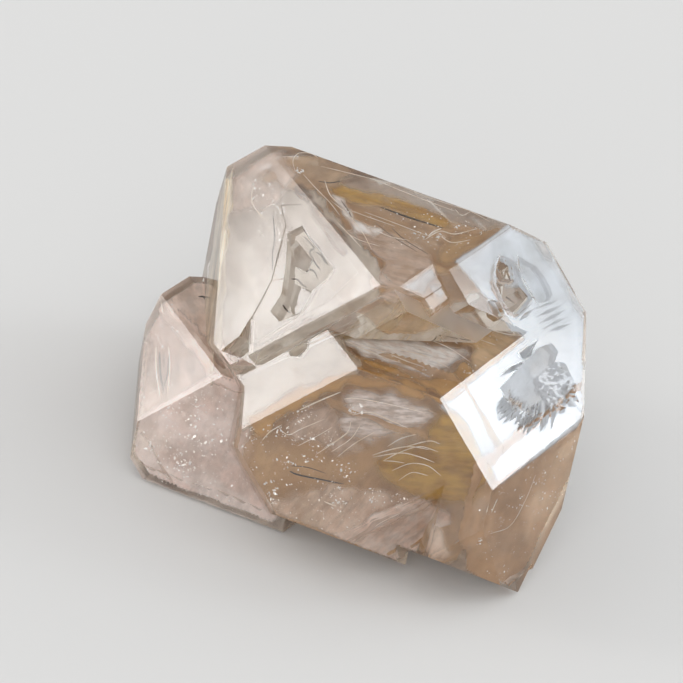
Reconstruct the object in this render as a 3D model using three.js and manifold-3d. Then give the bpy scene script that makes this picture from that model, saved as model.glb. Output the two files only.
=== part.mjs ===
// Window quartz: one cluster of skeletal smoky quartz crystals that grew side by side in parallel,
// so every flat face in the cluster belongs to one quartz lattice. Millimetres, +Z up.
// The cluster lies on one of its sloping end faces, so the parallel face on top is level.
import * as THREE from "three";
import { ConvexGeometry } from "three/addons/geometries/ConvexGeometry.js";
import { mergeVertices } from "three/addons/utils/BufferGeometryUtils.js";
import Module from "manifold-3d";

const wasm = await Module();
wasm.setup();

const radians = THREE.MathUtils.degToRad;

// ---- Crystals: driving dimensions --------------------------------------------------------------

// Angle between the long axis of quartz and the outward normal of an end (rhombohedral) face.
const END_FACE_TILT = radians(51.787);
const AZIMUTH_STEP = radians(60);
// Turn about the vertical that brings the best side of the cluster to the front (-Y).
const FRONT_TURN = radians(-30.8);

// Each crystal is the space inside eighteen flat faces: six end faces at the top of the long axis,
// six prism faces along it and six end faces at its foot. A number is the distance of a face from
// the heart of the cluster, and a ring lists the faces at azimuths 0, 60, 120, 180, 240 and 300.
const TOP = 1;
const PRISM = 0;
const FOOT = -1;

// Names for the azimuths that the details below use.
const RIGHT = 0;
const REAR_RIGHT = 1;
const REAR = 2;
const REAR_LEFT = 3;
const FRONT = 5;

const UPPER_ROOF = {
  top: [15.75, 19.15, 18.25, 21.0, 16.7, 13.35],
  prism: [14.55, 22.75, 13.8, 14.0, 12.8, 10.6],
  foot: [8.6, 18.0, 13.7, 13.0, 14.0, 3.45],
};
const UPPER_CORE = {
  top: [15.3, 18.7, 17.8, 20.6, 16.2, 12.9],
  prism: [14.0, 22.2, 13.4, 13.6, 12.4, 9.9],
  foot: [18.0, 21.0, 13.3, 12.9, 15.0, 5.05],
};
const UPPER_STEP = {
  top: [15.2, 13.0, 6.0, 0.0, 2.0, 11.0],
  prism: [14.45, 16.0, 4.0, 0.0, 2.0, 7.9],
  foot: [9.4, 14.0, 4.0, 0.0, 4.0, 4.6],
};
const RIGHT_LAYER = {
  top: [15.75, 19.15, 17.6, 20.0, 15.6, 12.6],
  prism: [15.6, 22.75, 12.8, 13.2, 12.0, 5.15],
  foot: [21.0, 21.9, 12.7, 12.2, 14.5, 3.1],
};
const MIDDLE_CRYSTAL = {
  top: [9.55, 18.2, 16.6, 18.0, 13.35, 12.0],
  prism: [15.6, 22.75, 13.0, 13.0, 16.6, 13.65],
  foot: [21.55, 21.9, 14.5, 12.6, 16.2, 18.4],
};
const MIDDLE_SPUR = {
  top: [6.0, 12.0, 12.0, 14.0, 15.5, 12.0],
  prism: [8.0, 12.0, 10.0, 11.0, 12.7, 11.1],
  foot: [8.0, 10.0, 9.0, 10.0, 12.0, 14.0],
};
const RIGHT_TOE = {
  top: [9.55, 16.0, 12.0, 12.0, -6.4, 9.0],
  prism: [15.6, 22.75, 12.0, 12.0, 12.0, 13.65],
  foot: [21.55, 21.9, 13.8, 13.0, 16.2, 22.0],
};
const LEFT_TOE = {
  top: [5.0, 12.0, 12.0, 14.0, 12.0, 8.0],
  prism: [10.0, 14.0, 10.0, 12.0, 16.6, 13.65],
  foot: [12.0, 6.1, 10.5, 12.3, 17.7, 18.4],
};
const LEFT_CRYSTAL = {
  top: [0.15, 12.2, 13.55, 21.2, 22.6, 10.85],
  prism: [2.0, 10.0, 10.5, 17.5, 25.5, 8.15],
  foot: [0.0, 6.0, 9.2, 12.8, 19.05, 18.0],
};
const REAR_CRYSTAL = {
  top: [12.0, 16.4, 19.6, 17.2, 8.0, 9.0],
  prism: [12.0, 17.0, 15.1, 12.9, 6.0, 6.0],
  foot: [14.0, 17.4, 15.2, 12.0, 9.0, 6.0],
};

// ---- Details on the faces: driving dimensions --------------------------------------------------

// Outlines lie on a face, in mm across it and up it towards the top of the long axis, measured
// from the foot of the perpendicular that drops on the face from the heart of the cluster.
const HOLLOWS = [
  // The large window of the upper crystal: a sunk pane, the hollow in it and the well in that.
  {
    lean: TOP,
    index: FRONT,
    distance: UPPER_ROOF.top[FRONT],
    steps: [
      {
        depth: 0.12,
        outline: [
          [1.6, 14.3], [3.8, 13.2], [6.0, 8.0], [7.7, 2.4], [4.0, 1.1], [-5.9, 0.9],
          [-5.2, 3.5], [-1.7, 6.6], [1.5, 11.8],
        ],
      },
      {
        depth: 1.0,
        tilt: [2, -4],
        outline: [
          [1.5, 10.9], [0.5, 7.9], [-1.0, 4.6], [-2.7, 3.4], [-2.1, 1.8], [0.4, 1.4], [2.4, 3.2],
          [4.2, 3.6], [5.3, 4.3], [5.1, 5.0], [4.4, 7.0], [3.7, 8.9], [3.3, 10.8],
        ],
      },
      {
        depth: 1.7,
        outline: [[-1.0, 3.8], [0.3, 5.5], [1.2, 4.4], [2.2, 3.6], [0.5, 2.1], [-1.0, 2.4]],
      },
      { depth: 1.4, tilt: [-5, 3], outline: [[1.0, 9.6], [1.9, 9.9], [2.9, 7.0], [2.0, 5.9], [0.9, 7.2]] },
    ],
  },
  // The notch at the lower left corner of that face.
  {
    lean: TOP,
    index: FRONT,
    distance: UPPER_ROOF.top[FRONT],
    steps: [{ depth: 1.6, outline: [[-5.1, 3.7], [-6.6, -0.8], [-9.3, 1.9], [-6.8, 2.4]] }],
  },
  // The small notch in the top edge of the middle crystal.
  {
    lean: TOP,
    index: FRONT,
    distance: MIDDLE_CRYSTAL.top[FRONT],
    steps: [
      { depth: 0.9, outline: [[-2.6, -1.0], [-0.2, -1.0], [-0.4, -1.8], [-1.5, -2.4], [-2.5, -1.8]] },
    ],
  },
  // The deep pit high on the right-hand prism face, with a ledge beside it.
  {
    lean: PRISM,
    index: RIGHT,
    distance: RIGHT_LAYER.prism[RIGHT],
    steps: [
      {
        depth: 0.4,
        tilt: [0, 3],
        outline: [
          [12.6, 2.7], [13.4, 1.5], [14.1, 0.8], [14.5, -0.8], [14.4, -2.1], [14.2, -2.8], [13.3, -3.1],
          [11.7, -2.6], [11.7, 1.0],
        ],
      },
      {
        depth: 1.1,
        tilt: [8, -9],
        outline: [
          [10.6, 3.9], [11.7, 2.9], [12.0, 2.0], [11.9, 0.8], [11.5, -0.1], [11.8, -1.6], [10.6, -1.9],
          [8.8, -2.2], [7.9, -1.4], [7.7, -0.2], [7.9, 0.9], [8.0, 1.7], [8.7, 2.7], [9.5, 3.4],
        ],
      },
      { depth: 1.5, outline: [[8.1, 1.6], [9.1, 1.7], [9.7, 0.9], [9.1, 0.1], [8.2, 0.2]] },
      {
        depth: 1.9,
        tilt: [-10, 8],
        outline: [[10.6, 3.2], [11.5, 2.1], [10.9, 0.7], [9.9, 1.4], [9.8, 2.6]],
      },
      { depth: 1.6, tilt: [-8, -12], outline: [[9.6, -0.3], [11.2, -0.5], [11.3, -1.4], [10.3, -1.6]] },
    ],
  },
  // The small oval pit beside it.
  {
    lean: PRISM,
    index: RIGHT,
    distance: RIGHT_LAYER.prism[RIGHT],
    steps: [
      {
        depth: 0.8,
        tilt: [9, -7],
        outline: [[5.7, 0.8], [6.4, 0.7], [7.0, 0.1], [7.1, -0.7], [6.7, -1.4], [5.9, -1.4], [5.4, -0.5]],
      },
    ],
  },
  // Two three-sided slots at the head of the etched oval, and the shallow basin in its middle.
  {
    lean: PRISM,
    index: RIGHT,
    distance: RIGHT_LAYER.prism[RIGHT],
    steps: [
      {
        depth: 0.8,
        tilt: [14, 0],
        outline: [[5.9, -5.4], [9.1, -5.5], [7.5, -6.1], [6.8, -6.7], [5.8, -6.0]],
      },
      {
        depth: 0.8,
        tilt: [14, 0],
        outline: [[1.8, -6.1], [3.9, -6.0], [5.7, -6.3], [5.2, -6.8], [3.9, -6.5]],
      },
      {
        depth: 0.45,
        tilt: [-3, 2],
        outline: [
          [1.1, -7.2], [4.5, -6.9], [8.8, -6.4], [10.6, -6.9], [10.9, -8.0], [9.4, -8.8], [6.6, -8.8],
          [5.6, -10.0], [6.0, -11.4], [5.2, -12.2], [3.3, -11.6], [1.9, -10.3], [1.2, -8.8],
        ],
      },
    ],
  },
  // Windows on the sides that face away.
  {
    lean: PRISM,
    index: REAR,
    distance: REAR_CRYSTAL.prism[REAR],
    steps: [
      { depth: 0.3, outline: [[-8.2, -2.6], [3.4, -3.2], [4.4, 3.6], [0.4, 9.4], [-7.2, 7.6]] },
      {
        depth: 1.2,
        outline: [[-5.8, -0.8], [-1.2, -1.6], [1.8, 0.6], [1.4, 4.2], [-1.2, 6.4], [-5.2, 5.0]],
      },
      { depth: 2.0, outline: [[-4.4, 0.6], [-1.4, 0.2], [0.2, 2.2], [-1.6, 4.6], [-4.2, 3.6]] },
    ],
  },
  {
    lean: FOOT,
    index: REAR,
    distance: REAR_CRYSTAL.foot[REAR],
    steps: [
      { depth: 0.3, outline: [[-9.0, -4.4], [-0.6, -5.4], [1.6, -0.6], [-2.4, 2.8], [-8.6, 1.6]] },
      { depth: 1.1, outline: [[-6.8, -2.8], [-2.2, -3.4], [-0.8, -0.8], [-3.4, 1.2], [-6.6, 0.4]] },
    ],
  },
  {
    lean: TOP,
    index: REAR,
    distance: UPPER_ROOF.top[REAR],
    steps: [{ depth: 0.7, outline: [[-2.8, 10.2], [0.4, 10.8], [2.8, 13.0], [0.2, 15.0], [-2.6, 13.4]] }],
  },
  {
    lean: FOOT,
    index: REAR_RIGHT,
    distance: MIDDLE_CRYSTAL.foot[REAR_RIGHT],
    steps: [{ depth: 0.7, outline: [[-5.8, -1.2], [-3.0, -2.2], [-1.6, 0.2], [-2.8, 3.4], [-5.4, 2.6]] }],
  },
];

// Nicks are narrow pointed grooves. They lie in a fan around part of an oval, in rows across an
// oval, or strewn over one. Directions are in degrees from the face's X axis, and the other sizes
// are those of a middling nick.
const FANS = [
  // The scalloped rim of the etched oval low on the right-hand prism face, and the ring inside it.
  {
    lean: PRISM,
    index: RIGHT,
    distance: RIGHT_LAYER.prism[RIGHT],
    middle: [5.3, -8.9],
    reach: [4.8, 3.8],
    start: 170,
    end: 278,
    count: 19,
    swing: 0.42,
    nick: { length: 3.0, width: 0.62, depth: 0.5 },
  },
  {
    lean: PRISM,
    index: RIGHT,
    distance: RIGHT_LAYER.prism[RIGHT],
    middle: [5.3, -8.9],
    reach: [3.0, 2.5],
    start: 164,
    end: 270,
    count: 13,
    swing: 0.42,
    nick: { length: 2.6, width: 0.6, depth: 0.85 },
  },
];

const ROWS = [
  // The ridges to the right of the pits.
  {
    lean: PRISM,
    index: RIGHT,
    distance: RIGHT_LAYER.prism[RIGHT],
    middle: [12.6, -4.5],
    reach: [2.2, 1.6],
    spacing: 0.72,
    direction: -9,
    nick: { width: 0.36, depth: 0.26 },
  },
  // The ridges at the lower end of the deep pit.
  {
    lean: PRISM,
    index: RIGHT,
    distance: RIGHT_LAYER.prism[RIGHT],
    middle: [9.3, -1.7],
    reach: [1.7, 1.2],
    spacing: 0.55,
    direction: 4,
    nick: { width: 0.4, depth: 0.35 },
  },
  // Steps across the low wall under the large window.
  {
    lean: PRISM,
    index: FRONT,
    distance: UPPER_CORE.prism[FRONT],
    middle: [-1.0, 6.2],
    reach: [8.5, 0.8],
    spacing: 0.45,
    direction: 0,
    nick: { width: 0.24, depth: 0.17 },
  },
  // Striations on the left crystal's rear face and on the rear crystal.
  {
    lean: PRISM,
    index: REAR_LEFT,
    distance: LEFT_CRYSTAL.prism[REAR_LEFT],
    middle: [8.0, 6.6],
    reach: [6.5, 3.4],
    spacing: 0.85,
    direction: 0,
    nick: { width: 0.45, depth: 0.3 },
  },
  {
    lean: PRISM,
    index: REAR,
    distance: REAR_CRYSTAL.prism[REAR],
    middle: [-2.0, -7.0],
    reach: [6.5, 3.0],
    spacing: 0.9,
    direction: 0,
    nick: { width: 0.4, depth: 0.28 },
  },
];

const STREWN = [
  // The pitted net on the right of the etched oval.
  {
    lean: PRISM,
    index: RIGHT,
    distance: RIGHT_LAYER.prism[RIGHT],
    middle: [8.1, -10.8],
    reach: [2.9, 2.7],
    count: 34,
    direction: -35,
    nick: { length: 1.3, width: 0.7, depth: 0.4 },
  },
  // Scattered pits around the windows at the back.
  {
    lean: FOOT,
    index: REAR,
    distance: REAR_CRYSTAL.foot[REAR],
    middle: [-4.0, 5.0],
    reach: [4.5, 2.2],
    count: 16,
    direction: 20,
    nick: { length: 1.3, width: 0.7, depth: 0.4 },
  },
];

// Turn from one strewn nick to the next, which spreads them evenly.
const GOLDEN_ANGLE = 137.508;

// How far the cutting shapes stand proud of the face they cut.
const CUTTER_PROUD = 1.0;

// Tolerances: planes whose normals span less than this are parallel, a corner may lie this far
// outside a face, and corners closer than this are one.
const PARALLEL = 1e-6;
const OUTSIDE = 1e-5;
const SAME_CORNER = 1e-4;

// ---- Faces -------------------------------------------------------------------------------------

// Outward normal of a face: lean is TOP, PRISM or FOOT, and index counts azimuth steps.
function faceNormal(lean, index) {
  const azimuth = index * AZIMUTH_STEP;
  const flat = lean === PRISM ? 1 : Math.sin(END_FACE_TILT);
  const rise = lean * Math.cos(END_FACE_TILT);
  return new THREE.Vector3(flat * Math.cos(azimuth), flat * Math.sin(azimuth), rise);
}

// A frame on a face: X runs across it, Y climbs it towards the top of the long axis, Z points out.
function faceFrame({ lean, index, distance }) {
  const azimuth = index * AZIMUTH_STEP;
  const outward = faceNormal(lean, index);
  const across = new THREE.Vector3(-Math.sin(azimuth), Math.cos(azimuth), 0);
  const upward = outward.clone().cross(across);
  const origin = outward.clone().multiplyScalar(distance);
  return new THREE.Matrix4().makeBasis(across, upward, outward).setPosition(origin);
}

function facePlanes({ top, prism, foot }) {
  const ring = (lean, distances) =>
    distances.map((distance, index) => new THREE.Plane(faceNormal(lean, index), -distance));
  return [...ring(TOP, top), ...ring(PRISM, prism), ...ring(FOOT, foot)];
}

// The point where three planes meet, or null where two of them are parallel.
function meetingPoint(a, b, c) {
  const rows = new THREE.Matrix3().set(
    ...a.normal.toArray(),
    ...b.normal.toArray(),
    ...c.normal.toArray(),
  );
  if (Math.abs(rows.determinant()) < PARALLEL) return null;
  return new THREE.Vector3(-a.constant, -b.constant, -c.constant).applyMatrix3(rows.invert());
}

// The corners of a crystal are the meeting points that lie inside all of its faces.
function crystalGeometry(distances) {
  const planes = facePlanes(distances);
  const corners = [];
  planes.forEach((a, i) => {
    planes.slice(i + 1).forEach((b, j) => {
      planes.slice(i + j + 2).forEach((c) => {
        const point = meetingPoint(a, b, c);
        if (point && planes.every((plane) => plane.distanceToPoint(point) < OUTSIDE)) {
          corners.push(point);
        }
      });
    });
  });
  return new ConvexGeometry(corners);
}

// ---- Solids ------------------------------------------------------------------------------------

function solidOf(geometry) {
  const bare = geometry.clone();
  bare.deleteAttribute("normal");
  bare.deleteAttribute("uv");
  const merged = mergeVertices(bare, SAME_CORNER);
  const triangles = new Uint32Array(merged.index.array);
  const vertices = merged.attributes.position.array;
  return new wasm.Manifold(
    new wasm.Mesh({ numProp: 3, vertProperties: vertices, triVerts: triangles }),
  );
}

function geometryOf(solid) {
  const mesh = solid.getMesh();
  const geometry = new THREE.BufferGeometry();
  geometry.setAttribute("position", new THREE.BufferAttribute(mesh.vertProperties, 3));
  geometry.setIndex(new THREE.BufferAttribute(mesh.triVerts, 1));
  return geometry;
}

// The cutter for one step of a hollow: its outline, sunk to its depth. A floor may be tilted about
// X and Y, in degrees, through the middle of the outline.
function stepCutter(face, { outline, depth, tilt = [0, 0] }) {
  const shape = new THREE.Shape(outline.map(([across, up]) => new THREE.Vector2(across, up)));
  const geometry = new THREE.ExtrudeGeometry(shape, {
    depth: depth + CUTTER_PROUD,
    bevelEnabled: false,
  });
  geometry.computeBoundingBox();
  const middle = geometry.boundingBox.getCenter(new THREE.Vector3());
  geometry.translate(-middle.x, -middle.y, 0);
  geometry.rotateX(radians(tilt[0])).rotateY(radians(tilt[1]));
  geometry.translate(middle.x, middle.y, -depth).applyMatrix4(faceFrame(face));
  return solidOf(geometry);
}

// Growth isn't even: a size or an angle sways from one nick to the next, within 1 either way.
function sway(step, pace) {
  return Math.sin((step + 1) * pace);
}

// The cutter for a nick: a stretched octahedron, sunk to half its height.
function nickCutter(face, { middle, direction, length, width, depth }) {
  const nick = new THREE.OctahedronGeometry(1).scale(length / 2, width / 2, depth);
  nick.rotateZ(radians(direction)).translate(...middle, 0);
  return solidOf(nick.applyMatrix4(faceFrame(face)));
}

function fanCutters(field) {
  const { middle, reach, start, end, count, swing, nick } = field;
  const pitch = (end - start) / (count - 1);
  return Array.from({ length: count }, (_, step) => {
    const angle = start + pitch * (step + 0.35 * sway(step, 7.1));
    const shift = 1 + 0.08 * sway(step, 4.3);
    return nickCutter(field, {
      middle: [
        middle[0] + reach[0] * shift * Math.cos(radians(angle)),
        middle[1] + reach[1] * shift * Math.sin(radians(angle)),
      ],
      direction: (angle - 180) * swing,
      length: nick.length * (1 + 0.25 * sway(step, 5.3)),
      width: nick.width * (1 + 0.2 * sway(step, 3.7)),
      depth: nick.depth * (1 + 0.2 * sway(step, 2.9)),
    });
  });
}

function rowCutters(field) {
  const { middle, reach, spacing, direction, nick } = field;
  const half = Math.floor(reach[1] / spacing);
  const slope = Math.tan(radians(direction));
  return Array.from({ length: 2 * half + 1 }, (_, row) => {
    const offset = (row - half + 0.25 * sway(row, 5.9)) * spacing;
    const slide = 0.15 * reach[0] * sway(row, 3.1);
    const chord = reach[0] * Math.sqrt(1 - (offset / (reach[1] + spacing)) ** 2);
    return nickCutter(field, {
      middle: [middle[0] + slide, middle[1] + offset + slide * slope],
      direction: direction + 3 * sway(row, 4.7),
      length: 2 * chord,
      width: nick.width * (1 + 0.25 * sway(row, 2.3)),
      depth: nick.depth * (1 + 0.25 * sway(row, 2.3)),
    });
  });
}

function strewnCutters(field) {
  const { middle, reach, count, direction, nick } = field;
  return Array.from({ length: count }, (_, step) => {
    const angle = radians(step * GOLDEN_ANGLE);
    const share = Math.sqrt((step + 0.5) / count);
    const size = 1 + 0.35 * sway(step, 5.3);
    return nickCutter(field, {
      middle: [
        middle[0] + reach[0] * share * Math.cos(angle),
        middle[1] + reach[1] * share * Math.sin(angle),
      ],
      direction: direction + 35 * sway(step, 3.3),
      length: nick.length * size,
      width: nick.width * size,
      depth: nick.depth * size,
    });
  });
}

const crystals = [
  UPPER_ROOF,
  UPPER_CORE,
  UPPER_STEP,
  RIGHT_LAYER,
  MIDDLE_CRYSTAL,
  MIDDLE_SPUR,
  RIGHT_TOE,
  LEFT_TOE,
  LEFT_CRYSTAL,
  REAR_CRYSTAL,
];
const cutters = [
  ...HOLLOWS.flatMap((hollow) => hollow.steps.map((step) => stepCutter(hollow, step))),
  ...FANS.flatMap(fanCutters),
  ...ROWS.flatMap(rowCutters),
  ...STREWN.flatMap(strewnCutters),
];
const grown = crystals
  .map((distances) => solidOf(crystalGeometry(distances)))
  .reduce((whole, crystal) => whole.add(crystal));
const cluster = cutters.reduce((whole, cutter) => whole.subtract(cutter), grown);

// ---- Scene graph -------------------------------------------------------------------------------

const quartz = new THREE.Mesh(
  geometryOf(cluster),
  new THREE.MeshStandardMaterial({ color: 0xd8c4ae, roughness: 0.06, metalness: 0 }),
);
quartz.name = "window_quartz";

const laid = new THREE.Group();
laid.rotation.y = -END_FACE_TILT;
laid.add(quartz);

const turned = new THREE.Group();
turned.rotation.z = FRONT_TURN;
turned.add(laid);

const part = new THREE.Group();
part.add(turned);
part.updateMatrixWorld(true);

// The origin is under the middle of the cluster, on the surface it lies on.
const box = new THREE.Box3().setFromObject(part, true);
const middle = box.getCenter(new THREE.Vector3());
turned.position.set(-middle.x, -middle.y, -box.min.z);

export default part;
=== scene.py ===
"""Window quartz: the looks of the crystal cluster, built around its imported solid."""

import math
import random

import bmesh
import bpy
from mathutils import Matrix, Vector, noise
from mathutils.bvhtree import BVHTree


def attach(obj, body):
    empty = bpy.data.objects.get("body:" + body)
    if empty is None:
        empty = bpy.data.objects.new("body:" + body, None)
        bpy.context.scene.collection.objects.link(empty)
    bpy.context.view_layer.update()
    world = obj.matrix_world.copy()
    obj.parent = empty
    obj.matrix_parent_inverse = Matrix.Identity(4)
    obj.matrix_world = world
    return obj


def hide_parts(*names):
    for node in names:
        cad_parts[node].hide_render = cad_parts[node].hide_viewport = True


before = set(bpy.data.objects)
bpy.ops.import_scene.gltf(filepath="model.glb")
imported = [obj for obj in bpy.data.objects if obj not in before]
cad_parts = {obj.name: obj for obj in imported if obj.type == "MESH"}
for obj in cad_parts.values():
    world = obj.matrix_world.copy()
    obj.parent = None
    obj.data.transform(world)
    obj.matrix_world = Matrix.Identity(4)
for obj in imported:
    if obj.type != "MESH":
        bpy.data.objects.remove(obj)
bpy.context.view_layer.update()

# ---- The frame of the quartz lattice, as in the solid ------------------------------------------

# Lengths below are in mm, and meshes are in metres.
MM = 0.001
NODE = "window_quartz"

# Angle between the long axis and the outward normal of an end face, and the turn of the cluster.
END_FACE_TILT = math.radians(51.787)
AZIMUTH_STEP = math.radians(60)
FRONT_TURN = math.radians(-30.8)
# The heart of the cluster, from which the distances of its faces are measured.
HEART = Vector((0.12, 0.13, 13.0))
LATTICE = Matrix.Rotation(FRONT_TURN, 3, "Z") @ Matrix.Rotation(-END_FACE_TILT, 3, "Y")

TOP, PRISM, FOOT = 1, 0, -1
RIGHT, REAR_RIGHT, REAR, REAR_LEFT, FAR_LEFT, FRONT = range(6)

# Faces of the cluster that the inclusions are placed by: lean, azimuth and distance.
UPPER_TOP = (TOP, RIGHT, 15.75)
UPPER_SLOPE = (TOP, FRONT, 13.35)
UPPER_EDGE = (TOP, FAR_LEFT, 16.7)
MIDDLE_TOP = (TOP, RIGHT, 9.55)
UPPER_OVERHANG = (FOOT, FRONT, 5.05)
MIDDLE_SLOPE = (TOP, FRONT, 12.0)
MIDDLE_WALL = (PRISM, FRONT, 13.65)
RIGHT_WALL = (PRISM, RIGHT, 15.6)
LOWER_RIGHT = (FOOT, RIGHT, 21.55)
UPPER_RISER = (PRISM, RIGHT, 14.5)
TOE_UNDERSIDE = (FOOT, FRONT, 18.4)
LEFT_TOP = (TOP, RIGHT, 0.15)
LEFT_SLOPE = (TOP, FRONT, 10.85)
LEFT_WALL = (PRISM, FRONT, 8.15)


def face_normal(lean, index):
    azimuth = index * AZIMUTH_STEP
    flat = 1.0 if lean == PRISM else math.sin(END_FACE_TILT)
    rise = lean * math.cos(END_FACE_TILT)
    return Vector((flat * math.cos(azimuth), flat * math.sin(azimuth), rise))


def face_frame(lean, index, distance):
    """X across a face, Y up it, Z out of it, and its origin, in the row frame and mm."""
    azimuth = index * AZIMUTH_STEP
    outward = face_normal(lean, index)
    across = Vector((-math.sin(azimuth), math.cos(azimuth), 0.0))
    upward = outward.cross(across)
    place = (LATTICE @ Matrix((across, upward, outward)).transposed()).to_4x4()
    place.translation = HEART + LATTICE @ (outward * distance)
    return place


# ---- Scene helpers -----------------------------------------------------------------------------


def add_object(name, data):
    thing = bpy.data.objects.new(name, data)
    bpy.context.scene.collection.objects.link(thing)
    return thing


def add_piece(name, vertices, faces, material, grain=None, smooth=False):
    """A mesh inside the quartz, from vertices in mm. grain gives each vertex its texture place."""
    mesh = bpy.data.meshes.new(name)
    mesh.from_pydata([vertex * MM for vertex in vertices], [], faces)
    mesh.materials.append(material)
    if grain:
        layer = mesh.attributes.new("grain", "FLOAT_VECTOR", "POINT")
        layer.data.foreach_set("vector", [value for vector in grain for value in vector])
    for polygon in mesh.polygons:
        polygon.use_smooth = smooth
    piece = add_object(name, mesh)
    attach(piece, "root")
    return piece


def new_material(name):
    material = bpy.data.materials.new(name)
    material.use_nodes = True
    return material, material.node_tree, material.node_tree.nodes["Principled BSDF"]


def map_range(tree, source, low, high, to_low, to_high):
    node = tree.nodes.new("ShaderNodeMapRange")
    node.interpolation_type = "SMOOTHSTEP"
    ends = {"From Min": low, "From Max": high, "To Min": to_low, "To Max": to_high}
    for socket, value in ends.items():
        node.inputs[socket].default_value = value
    tree.links.new(source, node.inputs["Value"])
    return node.outputs["Result"]


def stretched_noise(tree, attribute, stretch, detail=4.0, roughness=0.6):
    """Noise over a vector attribute, finer along the axes with the larger stretch."""
    place = tree.nodes.new("ShaderNodeAttribute")
    place.attribute_name = attribute
    mapping = tree.nodes.new("ShaderNodeMapping")
    mapping.inputs["Scale"].default_value = stretch
    texture = tree.nodes.new("ShaderNodeTexNoise")
    texture.inputs["Scale"].default_value = 1.0
    texture.inputs["Detail"].default_value = detail
    texture.inputs["Roughness"].default_value = roughness
    tree.links.new(place.outputs["Vector"], mapping.inputs["Vector"])
    tree.links.new(mapping.outputs["Vector"], texture.inputs["Vector"])
    return texture.outputs["Fac"]


def mix_colours(tree, factor, first, second):
    node = tree.nodes.new("ShaderNodeMix")
    node.data_type = "RGBA"
    node.inputs["A"].default_value = (*first, 1)
    node.inputs["B"].default_value = (*second, 1)
    tree.links.new(factor, node.inputs["Factor"])
    return node.outputs["Result"]


# ---- Camera: the picture's own view ------------------------------------------------------------

CAMERA_ELEVATION = math.radians(41.24)
CAMERA_ROLL = math.radians(12.82)
CAMERA_DISTANCE = 255.9
CAMERA_AIM = Vector((-2.86, -8.88, 23.96))
# The lens and its sensor are in mm of the camera's own, and the clip distances in metres.
CAMERA_LENS = 134.9
CAMERA_SENSOR = 36.0
CLIP_START = 0.01
CLIP_END = 20.0
# The side of the cluster that the picture shows, and the place that it is seen from.
PICTURE_SIDE = Vector((0.0, -math.cos(CAMERA_ELEVATION), math.sin(CAMERA_ELEVATION)))
CAMERA_PLACE = CAMERA_AIM + PICTURE_SIDE * CAMERA_DISTANCE


def add_camera():
    data = bpy.data.cameras.new("camera")
    data.lens = CAMERA_LENS
    data.sensor_width = CAMERA_SENSOR
    data.clip_start = CLIP_START
    data.clip_end = CLIP_END
    camera = add_object("camera", data)
    right = Vector((1.0, 0.0, 0.0))
    up = PICTURE_SIDE.cross(right)
    turned_right = right * math.cos(CAMERA_ROLL) + up * math.sin(CAMERA_ROLL)
    turned_up = PICTURE_SIDE.cross(turned_right)
    axes = Matrix((turned_right, turned_up, PICTURE_SIDE)).transposed().to_4x4()
    axes.translation = CAMERA_PLACE * MM
    camera.matrix_world = axes
    bpy.context.scene.camera = camera


# ---- Floor and light ---------------------------------------------------------------------------

# Half its width, and how far it lies below the quartz so that the two don't share a plane.
FLOOR_HALF = 1500.0
FLOOR_GAP = 0.2
FLOOR_COLOUR = (0.58, 0.58, 0.57, 1)
FLOOR_ROUGHNESS = 0.9
FLOOR_SHEEN = 0.2


def add_floor():
    corners = [(-1, -1), (1, -1), (1, 1), (-1, 1)]
    mesh = bpy.data.meshes.new("floor")
    vertices = [Vector((x * FLOOR_HALF, y * FLOOR_HALF, -FLOOR_GAP)) * MM for x, y in corners]
    mesh.from_pydata(vertices, [], [(0, 1, 2, 3)])
    material, tree, shader = new_material("floor_paper")
    shader.inputs["Base Color"].default_value = FLOOR_COLOUR
    shader.inputs["Roughness"].default_value = FLOOR_ROUGHNESS
    shader.inputs["Specular IOR Level"].default_value = FLOOR_SHEEN
    mesh.materials.append(material)
    add_object("floor", mesh)


# The studio is an even pale sky with soft glows in it, like large diffused lamps. Each glow has the
# azimuth from +X and the elevation of its middle, the angles within which it is full and beyond
# which it is gone, in degrees, its strength and its colour. The left one is mirrored by the sloping
# end faces in front, and the right one by the right-hand prism face.
GLOWS = {
    "left": (181.3, 27.2, 2.5, 7.2, 8.2, (0.99, 0.98, 0.99)),
    "left_low": (181.5, 18.5, 1.5, 6.5, 4.5, (1.0, 0.96, 0.90)),
    "left_wide": (178.0, 24.0, 10.0, 38.0, 0.9, (1.0, 0.95, 0.90)),
    "right": (14.5, 28.6, 3.5, 7.0, 10.8, (0.90, 0.96, 1.02)),
    "right_wide": (20.0, 30.0, 10.0, 34.0, 1.9, (0.92, 0.97, 1.0)),
    "above": (-80.0, 68.0, 10.0, 42.0, 0.8, (1.0, 0.98, 0.96)),
    "front": (-105.0, 14.0, 10.0, 50.0, 0.7, (1.0, 0.95, 0.92)),
}
SKY_COLOUR = (0.90, 0.90, 0.92)
SKY_STRENGTH = 0.78


def direction(azimuth, elevation):
    around, rise = math.radians(azimuth), math.radians(elevation)
    flat = math.cos(rise)
    return Vector((flat * math.cos(around), flat * math.sin(around), math.sin(rise)))


def add_glow(tree, sky, glow):
    """The sky's colour with one glow added to it."""
    azimuth, elevation, full, gone, strength, colour = glow
    place = tree.nodes.new("ShaderNodeTexCoord")
    towards = tree.nodes.new("ShaderNodeVectorMath")
    towards.operation = "DOT_PRODUCT"
    tree.links.new(place.outputs["Generated"], towards.inputs[0])
    towards.inputs[1].default_value = direction(azimuth, elevation)
    edge, core = math.cos(math.radians(gone)), math.cos(math.radians(full))
    level = map_range(tree, towards.outputs["Value"], edge, core, 0.0, strength)
    light = tree.nodes.new("ShaderNodeVectorMath")
    light.operation = "MULTIPLY_ADD"
    tree.links.new(level, light.inputs[0])
    light.inputs[1].default_value = colour
    tree.links.new(sky, light.inputs[2])
    return light.outputs["Vector"]


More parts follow.
